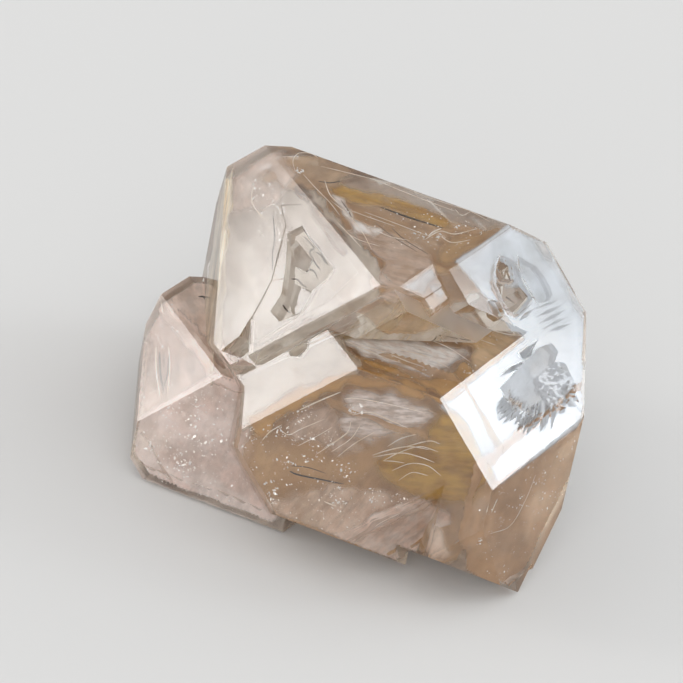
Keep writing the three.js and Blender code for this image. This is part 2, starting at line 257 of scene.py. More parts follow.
def add_lights():
    world = bpy.data.worlds.new("studio")
    bpy.context.scene.world = world
    world.use_nodes = True
    tree = world.node_tree
    base = tree.nodes.new("ShaderNodeCombineXYZ")
    for axis, value in zip("XYZ", SKY_COLOUR):
        base.inputs[axis].default_value = value * SKY_STRENGTH
    sky = base.outputs["Vector"]
    for glow in GLOWS.values():
        sky = add_glow(tree, sky, glow)
    tree.links.new(sky, tree.nodes["Background"].inputs["Color"])


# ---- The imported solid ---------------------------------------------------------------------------

# Whether a point is inside is settled by the majority of three probes, and none of them runs along
# a face of the lattice. A ray may slip through an edge, so one probe alone isn't enough.
PROBE_WAYS = [(0.31, 0.27, 0.91), (-0.53, 0.19, 0.83), (0.12, -0.71, 0.69)]
PROBES = [Vector(way).normalized() for way in PROBE_WAYS]
# How far past a surface a ray starts, in metres.
PROBE_STEP = 1e-6


def solid_tree():
    mesh = bmesh.new()
    mesh.from_mesh(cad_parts[NODE].data)
    tree = BVHTree.FromBMesh(mesh)
    mesh.free()
    return tree


SOLID = solid_tree()


# ---- Quartz ------------------------------------------------------------------------------------

QUARTZ_IOR = 1.544
# What the quartz lets through, and how strongly the rest is taken up per metre.
SMOKE_COLOUR = (0.90, 0.74, 0.52, 1)
SMOKE_DENSITY = 26.0


def quartz_material():
    material, tree, shader = new_material("quartz")
    shader.inputs["Base Color"].default_value = (1, 1, 1, 1)
    shader.inputs["Transmission Weight"].default_value = 1.0
    shader.inputs["IOR"].default_value = QUARTZ_IOR
    frost = tree.nodes.new("ShaderNodeAttribute")
    frost.attribute_name = "frost"
    tree.links.new(frost.outputs["Fac"], shader.inputs["Roughness"])
    volume = tree.nodes.new("ShaderNodeVolumeAbsorption")
    volume.inputs["Color"].default_value = SMOKE_COLOUR
    volume.inputs["Density"].default_value = SMOKE_DENSITY
    tree.links.new(volume.outputs["Volume"], tree.nodes["Material Output"].inputs["Volume"])
    return material


# The faces that the picture shows are clear, and those turned away or behind others are frosted.
# The smallest ones belong to etched pits and are satin, and one riser between crystals is etched.
CLEAR_ROUGHNESS = 0.08
SATIN_ROUGHNESS = 0.22
FROSTED_ROUGHNESS = 0.28
ETCHED_ROUGHNESS = 0.5
SATIN_AREA = 0.2 * MM * MM
ETCHED_RISER = (PRISM, RIGHT, 14.0)
# How far a polygon may lie off a face and still belong to it, in mm, and how far the cosine between
# their normals may fall short of 1.
SAME_PLANE = 0.02


def on_face(polygon, lean, index, distance):
    """Whether a polygon of the solid lies in the plane of a face."""
    outward = LATTICE @ face_normal(lean, index)
    level = (polygon.center / MM - HEART).dot(outward)
    return polygon.normal.dot(outward) > 1 - SAME_PLANE and abs(level - distance) < SAME_PLANE


def add_quartz():
    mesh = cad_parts[NODE].data.copy()
    quartz = add_object("quartz_cluster", mesh)
    mesh.materials.clear()
    mesh.materials.append(quartz_material())
    frost = mesh.attributes.new("frost", "FLOAT", "FACE")
    for polygon in mesh.polygons:
        polygon.use_smooth = False
        hidden = SOLID.ray_cast(polygon.center + polygon.normal * PROBE_STEP, PICTURE_SIDE)[0]
        away = hidden or polygon.normal.dot(PICTURE_SIDE) < 0
        near = SATIN_ROUGHNESS if polygon.area < SATIN_AREA else CLEAR_ROUGHNESS
        if on_face(polygon, *ETCHED_RISER):
            near = ETCHED_ROUGHNESS
        frost.data[polygon.index].value = FROSTED_ROUGHNESS if away else near
    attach(quartz, "root")
    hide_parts(NODE)


# ---- Inclusions: where they may lie ------------------------------------------------------------

# A film ends where there is less quartz over it than this, in mm.
INSIDE_MARGIN = 0.15


def crossings(place, probe):
    """How often a ray from a place in metres crosses the surface of the quartz."""
    count = 0
    while True:
        hit = SOLID.ray_cast(place, probe)[0]
        if hit is None:
            return count
        count += 1
        place = hit + probe * PROBE_STEP


def depth_inside(point):
    """How far a point in mm lies below the surface of the quartz, or -1 outside it."""
    place = point * MM
    votes = sum(crossings(place, probe) % 2 for probe in PROBES)
    return SOLID.find_nearest(place)[3] / MM if votes * 2 > len(PROBES) else -1.0


def inside_outline(outline, x, y):
    inside = False
    for (x0, y0), (x1, y1) in zip(outline, outline[1:] + outline[:1]):
        if (y0 > y) != (y1 > y) and x < (x1 - x0) * (y - y0) / (y1 - y0) + x0:
            inside = not inside
    return inside


def rim_distance(outline, x, y):
    spot = Vector((x, y))
    nearest = math.inf
    for start, end in zip(outline, outline[1:] + outline[:1]):
        start, side = Vector(start), Vector(end) - Vector(start)
        share = min(max((spot - start).dot(side) / side.length_squared, 0.0), 1.0)
        nearest = min(nearest, (spot - start - side * share).length)
    return nearest


def ramp(value, low, high):
    share = min(max((value - low) / (high - low), 0.0), 1.0)
    return share * share * (3 - 2 * share)


# ---- Inclusions: veils and stains --------------------------------------------------------------

# The span of noise over which a film turns from thin to thick and from dark to pale, and how much
# finer its colour runs along and across the grain than its strands do.
FILM_SPAN = (0.36, 0.62)
TINT_STRETCH = (1.7, 0.6)
FILM_ROUGHNESS = 0.4
# The waves in a film, the ripples on them, and the wandering of its rim: how fine each one is, and
# how high the ripples are beside the waves.
WAVE_FINENESS = 0.3
RIPPLE_FINENESS = 3.1
RIPPLE_HEIGHT = 0.3
FRAY_FINENESS = 0.6
# The height at which the noise for the rim is read, so that it isn't the one for the waves.
FRAY_LEVEL = 3.0
# These spread the films' noise apart, by the letters of their names and by their lengths.
LETTER_SPREAD = 0.37
LENGTH_SPREAD = 1.3

def film_material(name, dark, pale, thin, thick, stretch, cover=FILM_SPAN):
    """A film whose colour runs from dark to pale, and whose alpha from thin to thick. It fades out
    towards its rim, and stretch sets how fine its streaks are along and across its grain."""
    material, tree, shader = new_material(name)
    strands = stretched_noise(tree, "grain", (*stretch, 1.0))
    cover_map = map_range(tree, strands, *cover, thin, thick)
    fade = tree.nodes.new("ShaderNodeAttribute")
    fade.attribute_name = "fade"
    alpha = tree.nodes.new("ShaderNodeMath")
    alpha.operation = "MULTIPLY"
    tree.links.new(cover_map, alpha.inputs[0])
    tree.links.new(fade.outputs["Fac"], alpha.inputs[1])
    tree.links.new(alpha.outputs["Value"], shader.inputs["Alpha"])
    tint_stretch = (stretch[0] * TINT_STRETCH[0], stretch[1] * TINT_STRETCH[1], 1.0)
    tint = stretched_noise(tree, "grain", tint_stretch, detail=3.0)
    colour = mix_colours(tree, map_range(tree, tint, *FILM_SPAN, 0.0, 1.0), dark, pale)
    tree.links.new(colour, shader.inputs["Base Color"])
    shader.inputs["Roughness"].default_value = FILM_ROUGHNESS
    return material


def add_film(name, face, depth, outline, material, turn=0.0, cell=0.3, waves=0.4, soft=0.9, fray=0.7):
    """A wavy sheet below a face, cut off where it would leave the quartz. turn is the direction of
    its grain in degrees, soft the width of its faded rim, and fray how far that rim wanders."""
    place = face_frame(*face)
    seed = Vector((sum(map(ord, name)) * LETTER_SPREAD, len(name) * LENGTH_SPREAD, 0.0))
    xs = [x for x, _ in outline]
    ys = [y for _, y in outline]
    cos_turn, sin_turn = math.cos(math.radians(turn)), math.sin(math.radians(turn))

    def sheet_point(x, y):
        at = Vector((x, y, 0.0)) * WAVE_FINENESS + seed
        rise = noise.noise(at) + RIPPLE_HEIGHT * noise.noise(at * RIPPLE_FINENESS)
        return place @ Vector((x, y, rise * waves - depth))

    vertices, grain, fades, index, faces = [], [], [], {}, []

    def corner_index(column, row):
        if (column, row) not in index:
            x, y = column * cell, row * cell
            point = sheet_point(x, y)
            below = depth_inside(point)
            ragged = noise.noise(Vector((x, y, FRAY_LEVEL)) * FRAY_FINENESS + seed) * fray
            side = 1 if inside_outline(outline, x, y) else -1
            rim = rim_distance(outline, x, y) * side + ragged
            if below < INSIDE_MARGIN or rim < -cell:
                index[column, row] = None
            else:
                index[column, row] = len(vertices)
                vertices.append(point)
                along = x * cos_turn + y * sin_turn
                cross = y * cos_turn - x * sin_turn
                grain.append(Vector((along, cross, 0.0)) + seed)
                sunk = ramp(below, INSIDE_MARGIN, INSIDE_MARGIN + soft / 2)
                fades.append(ramp(rim, 0.0, soft) * sunk)
        return index[column, row]

    for column in range(math.floor(min(xs) / cell), math.ceil(max(xs) / cell)):
        for row in range(math.floor(min(ys) / cell), math.ceil(max(ys) / cell)):
            corners = [(column, row), (column + 1, row), (column + 1, row + 1), (column, row + 1)]
            corners = [corner_index(*corner) for corner in corners]
            if None not in corners:
                faces.append(corners)
    piece = add_piece(name, vertices, faces, material, grain, smooth=True)
    layer = piece.data.attributes.new("fade", "FLOAT", "POINT")
    layer.data.foreach_set("value", fades)


# ---- Inclusions: needles, fibres and flakes ----------------------------------------------------

# The grain of the plain materials, and the span of noise over which they turn from dark to pale.
GRAIN_SCALE = 900.0
GRAIN_SPAN = (0.35, 0.65)


def plain_material(name, dark, pale, roughness, metallic=0.0):
    material, tree, shader = new_material(name)
    place = tree.nodes.new("ShaderNodeTexCoord")
    texture = tree.nodes.new("ShaderNodeTexNoise")
    texture.inputs["Scale"].default_value = GRAIN_SCALE
    tree.links.new(place.outputs["Object"], texture.inputs["Vector"])
    share = map_range(tree, texture.outputs["Fac"], *GRAIN_SPAN, 0.0, 1.0)
    colour = mix_colours(tree, share, dark, pale)
    tree.links.new(colour, shader.inputs["Base Color"])
    shader.inputs["Roughness"].default_value = roughness
    shader.inputs["Metallic"].default_value = metallic
    return material


FIBRE_SIDES = 5
# The least quartz over a fibre, in mm, and its width at an end as a share of that in the middle.
FIBRE_DEPTH = 0.12
FIBRE_END = 0.3


def fibre_mesh(path, radius):
    """Vertices and faces of a thin rod along a path, tapered to its ends."""
    vertices, faces = [], []
    for step, point in enumerate(path):
        ahead = path[min(step + 1, len(path) - 1)] - path[max(step - 1, 0)]
        side = ahead.orthogonal().normalized()
        other = ahead.normalized().cross(side)
        share = step / (len(path) - 1)
        width = radius * (FIBRE_END + (1 - FIBRE_END) * math.sin(math.pi * share) ** 0.5)
        for turn in range(FIBRE_SIDES):
            angle = 2 * math.pi * turn / FIBRE_SIDES
            vertices.append(point + (side * math.cos(angle) + other * math.sin(angle)) * width)
    for step in range(len(path) - 1):
        for turn in range(FIBRE_SIDES):
            low = step * FIBRE_SIDES + turn
            next_low = step * FIBRE_SIDES + (turn + 1) % FIBRE_SIDES
            faces.append((low, next_low, next_low + FIBRE_SIDES, low + FIBRE_SIDES))
    last = (len(path) - 1) * FIBRE_SIDES
    faces.append(tuple(reversed(range(FIBRE_SIDES))))
    faces.append(tuple(last + turn for turn in range(FIBRE_SIDES)))
    return vertices, faces


def smooth_path(points, steps=6):
    """Points on a smooth curve through the given ones."""
    ends = [points[0] * 2 - points[1], *points, points[-1] * 2 - points[-2]]
    path = []
    for before, start, end, after in zip(ends, ends[1:], ends[2:], ends[3:]):
        for step in range(steps):
            t = step / steps
            bend = (before * -1 + start * 3 - end * 3 + after) * t**3
            swing = (before * 2 - start * 5 + end * 4 - after) * t**2
            path.append((bend + swing + (end - before) * t + start * 2) / 2)
    return [*path, points[-1]]


def add_fibres(name, rods, material):
    """rods: face, depth, radius, and points across and up the face."""
    vertices, faces = [], []
    for face, depth, radius, points in rods:
        place = face_frame(*face)
        path = smooth_path([place @ Vector((x, y, -depth)) for x, y in points])
        path = [point for point in path if depth_inside(point) > radius + FIBRE_DEPTH]
        if len(path) < 3:
            continue
        start = len(vertices)
        rod_vertices, rod_faces = fibre_mesh(path, radius)
        vertices += rod_vertices
        faces += [tuple(start + corner for corner in corners) for corners in rod_faces]
    add_piece(name, vertices, faces, material)


FLAKE_CORNERS = 5
# The least quartz over a flake, in mm, and its width as a share of its length.
FLAKE_DEPTH = 0.1
FLAKE_WIDTH = 0.6
# How many places are tried for each flake that is wanted.
FLAKE_TRIES = 20
# How much deeper than its nearest flake a burst goes, and the sizes of its flakes, in mm.
BURST_DEPTH = 0.7
BURST_SIZES = (0.09, 0.32)


def glint_turn(face, middle):
    """How a flake below a face is turned so that it mirrors the left glow towards the picture."""
    outward = LATTICE @ face_normal(*face[:2])
    bent = []
    for ray in ((CAMERA_PLACE - middle).normalized(), direction(*GLOWS["left"][:2])):
        along = (ray - outward * ray.dot(outward)) / QUARTZ_IOR
        bent.append(along + outward * math.sqrt(1 - along.length_squared))
    return outward.rotation_difference(bent[0] + bent[1]).to_matrix()


def add_flakes(name, clouds, material, seed, thickness=0.15, glinting=False):
    """clouds: face, near and far depth, outline, count, smallest and largest size, and tilt."""
    draw = random.Random(seed)
    vertices, faces = [], []
    for face, near, far, outline, count, smallest, largest, tilt in clouds:
        place = face_frame(*face)
        xs = [x for x, _ in outline]
        ys = [y for _, y in outline]
        made = 0
        for _ in range(count * FLAKE_TRIES):
            if made == count:
                break
            x, y = draw.uniform(min(xs), max(xs)), draw.uniform(min(ys), max(ys))
            middle = place @ Vector((x, y, -draw.uniform(near, far)))
            size = smallest * (largest / smallest) ** (draw.random() ** 2)
            if not inside_outline(outline, x, y) or depth_inside(middle) < size + FLAKE_DEPTH:
                continue
            made += 1
            tip, roll = draw.gauss(0, tilt), draw.gauss(0, tilt)
            lean = Matrix.Rotation(tip, 3, "X") @ Matrix.Rotation(roll, 3, "Y")
            axes = place.to_3x3() @ Matrix.Rotation(draw.uniform(0, math.tau), 3, "Z") @ lean
            if glinting:
                axes = glint_turn(face, middle) @ axes
            start = len(vertices)
            for corner in range(FLAKE_CORNERS):
                angle = math.tau * corner / FLAKE_CORNERS
                reach = size * draw.uniform(0.5, 1.0)
                spot = Vector((math.cos(angle) * reach, math.sin(angle) * reach * FLAKE_WIDTH, 0.0))
                vertices.append(middle + axes @ spot)
            vertices.append(middle + axes @ Vector((0, 0, size * thickness)))
            vertices.append(middle - axes @ Vector((0, 0, size * thickness)))
            top, bottom = start + FLAKE_CORNERS, start + FLAKE_CORNERS + 1
            for corner in range(FLAKE_CORNERS):
                here, there = start + corner, start + (corner + 1) % FLAKE_CORNERS
                faces += [(here, there, top), (there, here, bottom)]
    add_piece(name, vertices, faces, material)


# ---- Inclusions: the ones in this cluster ------------------------------------------------------


def add_hazes():
    """Broad milky growth zones, which give each face its depth of tone."""
    haze = film_material("haze", (0.62, 0.48, 0.38), (0.88, 0.78, 0.70), 0.40, 0.85, (0.10, 0.16))
    tan = film_material("haze_tan", (0.51, 0.31, 0.15), (0.63, 0.40, 0.20), 0.60, 0.90, (0.12, 0.22))
    brown = film_material("haze_brown", (0.46, 0.26, 0.12), (0.57, 0.34, 0.18), 0.68, 0.92, (0.12, 0.22))
    toe = film_material("haze_toe", (0.88, 0.66, 0.54), (1.0, 0.86, 0.77), 0.50, 0.90, (0.2, 0.5))
    fog = film_material("haze_fog", (0.70, 0.51, 0.39), (0.86, 0.70, 0.58), 0.40, 0.82, (0.2, 0.5))
    pale = film_material("haze_pale", (0.62, 0.57, 0.50), (0.77, 0.72, 0.66), 0.45, 0.88, (0.10, 0.18))
    cool = film_material("haze_cool", (0.62, 0.66, 0.70), (0.74, 0.79, 0.85), 0.85, 0.99, (0.15, 0.40))
    rim = film_material("haze_rim", (0.58, 0.47, 0.33), (0.82, 0.73, 0.58), 0.40, 0.90, (0.12, 0.6))
    steel = film_material("haze_steel", (0.50, 0.50, 0.51), (0.62, 0.63, 0.65), 0.50, 0.85, (0.15, 0.40))
    dove = film_material("haze_dove", (0.48, 0.45, 0.42), (0.60, 0.57, 0.53), 0.50, 0.85, (0.3, 0.9))
    stone = film_material("haze_stone", (0.52, 0.45, 0.36), (0.66, 0.59, 0.50), 0.45, 0.88, (0.10, 0.18))
    crown = film_material("haze_crown", (0.62, 0.47, 0.38), (0.77, 0.63, 0.55), 0.50, 0.92, (0.18, 0.30))
    blush = film_material("blush", (0.91, 0.71, 0.63), (1.0, 0.87, 0.81), 0.60, 0.97, (0.18, 0.26))
    warm = film_material("blush_warm", (0.54, 0.39, 0.31), (0.70, 0.55, 0.48), 0.50, 0.92, (0.18, 0.30))
    fawn = film_material("haze_fawn", (0.42, 0.26, 0.14), (0.60, 0.42, 0.26), 0.50, 0.90, (0.12, 0.22))
    rose = film_material("blush_rose", (0.82, 0.63, 0.52), (0.97, 0.81, 0.72), 0.55, 0.92, (0.2, 0.4))
    # Along the sides turned away.
    whole = [(-26, -24), (26, -24), (26, 26), (-26, 26)]
    add_film("haze_foot", (FOOT, REAR_LEFT, 13.0), 1.4, whole, haze, cell=0.6)
    add_film("haze_rear", (PRISM, REAR, 15.1), 1.8, whole, haze, cell=0.6)
    add_film("haze_left", (PRISM, REAR_LEFT, 17.5), 2.0, whole, haze, cell=0.6)
    # Behind the faces in front.
    add_film(
        "haze_slope", UPPER_SLOPE, 3.4,
        [(-3.4, 22.4), (2.0, 23.0), (3.4, 17.6), (9.4, 0.6), (-8.5, 1.4), (-11.5, 3.4), (-7.5, 15.0)],
        pale, turn=-70, cell=0.5, soft=0.5,
    )
    add_film(
        "haze_crown", UPPER_SLOPE, 1.5, [(-4.5, 23.0), (3.4, 24.0), (4.0, 17.0), (1.0, 14.5), (-5.4, 16.5)],
        crown, turn=-70, soft=1.6,
    )
    add_film("haze_apex", UPPER_TOP, 2.0, [(0, 19), (9, 19), (10, 11), (4, 11), (1.6, 13)], fawn, soft=1.4)
    add_film("haze_edge", UPPER_EDGE, 0.8, [(-8, 20), (14, 20), (14, -4), (-8, -4)], rim, turn=90, soft=0.4)
    add_film(
        "haze_step", MIDDLE_SLOPE, 1.8,
        [(-8.4, 2.4), (-1.3, 1.0), (2.0, -0.6), (4.0, -6.4), (0.5, -6.8), (-10.5, -5.8)], stone, turn=-60,
        cell=0.4, soft=0.5,
    )
    add_film(
        "haze_right", RIGHT_WALL, 1.2,
        [(4.8, 5.8), (14.8, 5.7), (19.5, 1.9), (20.0, -7.0), (13.6, -13.6), (8.8, -15.6), (-4.9, -15.0),
         (-5.8, -5.0), (8.0, -4.8)],
        cool, turn=-10, cell=0.3, soft=0.4, fray=0.15,
    )
    add_film(
        "haze_brink", RIGHT_WALL, 0.5, [(14.8, 6.0), (21.0, 3.0), (21.0, -8.0), (16.0, -9.0), (16.0, 0.0)],
        dove, turn=-80, soft=0.8, fray=0.3,
    )
    add_film(
        "haze_facet", UPPER_RISER, 0.4,
        [(-2.6, 6.8), (2.3, 6.8), (2.3, 4.8), (2.2, 3.5), (-0.6, 3.5), (-0.7, 4.6)],
        steel, cell=0.2, soft=0.4, fray=0.1,
    )
    add_film(
        "haze_upper", UPPER_TOP, 5.5,
        [(5, 18), (16, -6), (-4, -6), (-4, 2), (2, 16)], tan, turn=-65, cell=0.5,
    )
    add_film(
        "haze_middle", MIDDLE_TOP, 5.0,
        [(-10, 2), (6, -2), (12, -14), (-8, -14), (-12, -4)], tan, turn=-60, cell=0.5,
    )
    add_film(
        "haze_wall", MIDDLE_WALL, 4.2,
        [(-11, 1.4), (11, 1.4), (13, -12), (2, -20), (-13, -20), (-13, -1)], tan, turn=20, cell=0.5,
        soft=0.5,
    )
    add_film(
        "haze_toe", MIDDLE_WALL, 1.6,
        [(-14, -5), (-4, -7), (0, -10), (3.2, -12.2), (3.8, -14.5), (2.5, -22), (-14, -20)],
        fog, turn=20, soft=1.2,
    )
    add_film(
        "haze_tip", TOE_UNDERSIDE, 0.6, [(-8, -1), (3, -1.5), (4.5, -6), (1, -10), (-6, -9), (-9, -4)], toe,
        turn=20, waves=0.2, soft=0.5,
    )
    add_film(
        "haze_low", LOWER_RIGHT, 2.2,
        [(14, 1), (12, -13), (-1, -21), (-18, -12), (-18, 1)], brown, turn=-30, cell=0.4, soft=0.4,
    )
    # Pink-white milk that fills the left crystal.
    add_film(
        "blush_wall", LEFT_WALL, 0.7,
        [(-28, 10), (-9, 10), (-9, 3), (-12, -2), (-12, -9), (-21, -9), (-29, 0)], blush, turn=30,
        soft=0.5,
    )
    add_film("blush_top", LEFT_TOP, 1.2, [(-17, 27), (3, 26), (-4, 13), (-9, 5), (-17, 6)], rose, turn=60)
    add_film(
        "blush_slope", LEFT_SLOPE, 1.6, [(-17, 16), (-10, 2), (-26, 0), (-21, 11)], warm, turn=70, soft=0.5,
    )


def add_veils():
    milk = film_material("veil_milk", (0.76, 0.67, 0.62), (0.96, 0.90, 0.88), 0.50, 0.90, (0.5, 2.4))
    snow = film_material(
        "veil_snow", (0.86, 0.78, 0.73), (1.0, 0.98, 0.96), 0.66, 0.97, (0.5, 2.4), cover=(0.3, 0.54)
    )
    rose = film_material("veil_rose", (0.60, 0.45, 0.35), (0.78, 0.63, 0.54), 0.50, 0.76, (0.3, 1.0))
    gold = film_material("stain_gold", (0.38, 0.19, 0.02), (0.55, 0.32, 0.05), 0.74, 0.97, (0.14, 0.8))
    olive = film_material("stain_olive", (0.26, 0.17, 0.05), (0.46, 0.33, 0.13), 0.60, 0.94, (0.14, 0.7))
    rust = film_material("stain_rust", (0.42, 0.24, 0.09), (0.54, 0.34, 0.15), 0.62, 0.90, (0.12, 0.6))
    amber = film_material("stain_amber", (0.44, 0.23, 0.06), (0.54, 0.30, 0.09), 0.82, 0.96, (0.15, 0.7))
    copper = film_material("stain_copper", (0.64, 0.42, 0.20), (0.78, 0.54, 0.30), 0.62, 0.90, (0.12, 0.6))
    sand = film_material("stain_sand", (0.46, 0.33, 0.15), (0.66, 0.51, 0.30), 0.12, 0.48, (0.14, 0.7))
    # Painted shade: a dark brown film for the shadow along the edge of the sloping face.
    painted_shade = film_material("painted_shade_band", (0.10, 0.05, 0.03), (0.30, 0.18, 0.10), 0.40, 0.85, (0.3, 1.6))
    cream = film_material("veil_cream", (0.80, 0.62, 0.36), (1.0, 0.92, 0.72), 0.45, 0.95, (0.1, 2.4))
    # Under the level top of the upper crystal.
    add_film(
        "stain_upper", UPPER_TOP, 2.2,
        [(4.8, 13.2), (6.4, 11.6), (8.9, 8.1), (10.6, 4.0), (11.6, 0.3), (10.3, -0.9), (7.8, 0.7),
         (6.5, 4.7), (4.3, 8.4), (3.5, 11.0)],
        gold, turn=-68, soft=1.3,
    )
    add_film(
        "stain_right", UPPER_TOP, 2.2,
        [(9.0, -1.0), (14.4, -3.2), (14.4, -5.6), (5.5, -5.4), (3.0, -2.8), (6.5, -1.2)],
        rust, turn=-15, soft=1.4,
    )
    add_film(
        "veil_wing", UPPER_TOP, 1.4,
        [(3.7, 11.0), (4.3, 9.4), (2.8, 6.9), (3.5, 3.4), (1.5, 3.5), (0.3, 4.8), (1.1, 7.5)],
        snow, turn=-105, soft=1.0, cell=0.2,
    )
    add_film(
        "veil_upper", UPPER_TOP, 2.6,
        [(0.2, 6.4), (-0.6, 0.8), (-3.6, -0.5), (-2.4, -3.4), (3.5, -3.2), (5.6, -0.6), (4.6, 3.0),
         (3.4, 6.4)],
        rose, turn=-60,
    )
    # Painted shade, not a stain: a dark brown band under the top, along the edge that the top shares with
    # the sloping face, where that edge casts its shadow through the quartz.
    add_film(
        "stain_streak", UPPER_TOP, 1.2,
        [(2.8, 14.1), (1.5, 10.6), (0.3, 7.5), (-1.9, 3.2), (-2.7, 3.8), (-1.2, 7.9), (0.1, 11.0),
         (1.6, 14.6)],
        painted_shade, turn=-108, soft=0.5, cell=0.2,
    )
    add_film(
        "stain_overhang", UPPER_OVERHANG, 1.2, [(-1, 2), (13, 2), (15, 12), (-1, 12)],
        sand, turn=20, soft=0.4,
    )
    # Under the level top of the middle crystal.
    add_film(
        "stain_ledge", MIDDLE_TOP, 2.2,
        [(-6.8, 0.8), (-2.5, -1.3), (0.8, -1.8), (1.2, -3.6), (4.6, -4.3), (1.6, -7.8), (-2.0, -5.0),
         (-6.8, -1.2)],
        olive, turn=-45, soft=1.0,
    )
    add_film(
        "stain_middle", MIDDLE_TOP, 1.5,
        [(-8.2, -2.2), (-8.4, -4.3), (-7.2, -8.0), (-6.0, -11.2), (-6.2, -13.4), (-0.3, -13.4),
         (0.7, -10.8), (-4.4, -10.2), (-5.8, -7.4), (-7.0, -3.8)],
        amber, turn=-70, soft=0.8,
    )
    add_film(
        "veil_middle", MIDDLE_TOP, 1.8,
        [(-6.9, -0.3), (-3.4, -2.7), (0.9, -7.5), (3.2, -10.0), (0.5, -10.9), (-4.2, -10.5),
         (-6.0, -7.4), (-7.3, -3.9)],
        snow, turn=-64, soft=1.3, cell=0.2,
    )
    add_film(
        "stain_far", MIDDLE_TOP, 2.4,
        [(4.0, -4.6), (5.6, -7.0), (9.4, -12.8), (4.6, -13.6), (-0.6, -13.4), (0.3, -10.4), (2.6, -9.9),
         (1.2, -7.5)],
        copper, turn=-80, soft=1.2,
    )
    # Behind the front wall of the middle crystal.
    add_film(
        "stain_band", MIDDLE_WALL, 1.5,
        [(-9.4, 2.6), (-4.6, 3.2), (0.1, 2.9), (2.4, 2.5), (6.4, -0.1), (9.0, -3.2), (9.8, -4.8),
         (7.8, -4.2), (5.3, -1.4), (2.1, 0.4), (-1.3, 0.7), (-4.9, 0.9), (-9.4, -0.6)],
        amber, turn=-15, soft=0.8,
    )
    add_film(
        "veil_wall", MIDDLE_WALL, 1.9,
        [(0.9, 0.6), (3.1, 0.4), (6.6, -1.9), (8.7, -4.6), (8.8, -6.7), (6.8, -6.8), (4.3, -6.0),
         (0.8, -5.8), (-1.0, -4.2), (-1.6, -2.1)],
        milk, turn=-28, soft=1.4, cell=0.2,
    )
    add_film(
        "veil_fold", MIDDLE_WALL, 2.4,
        [(-6.4, 1.2), (-3.5, 1.2), (-0.2, 0.7), (0.9, -0.6), (-0.8, -2.6), (0.6, -6.2), (-2.6, -5.6),
         (-5.2, -3.0), (-7.2, -1.2)],
        rose, turn=24, soft=1.4,
    )
    add_film(
        "stain_wall", MIDDLE_WALL, 1.7,
        [(0.4, -7.0), (3.2, -6.5), (6.6, -6.6), (9.2, -5.0), (12.5, -8.0), (12.5, -14.0), (7.2, -16.2),
         (3.2, -14.2), (0.7, -11.5), (-0.2, -8.8)],
        gold, turn=-30, soft=1.3,
    )
    add_film(
        "veil_toe", MIDDLE_WALL, 1.0,
        [(-8.0, -12.4), (-1.6, -11.9), (4.3, -12.9), (4.4, -14.4), (-0.8, -15.4), (-3.0, -17.5)],
        rose, turn=5, soft=0.4, cell=0.2,
    )
    # The golden edge of the sloping face beside the large window.
    add_film(
        "veil_edge", UPPER_SLOPE, 0.9,
        [(-2.9, 20.6), (-4.0, 17.4), (-5.9, 13.2), (-8.0, 8.8), (-9.2, 9.2), (-7.5, 13.5), (-5.6, 17.6),
         (-4.0, 21.0)],
        cream, turn=-115, cell=0.15, soft=0.3, waves=0.1,
    )


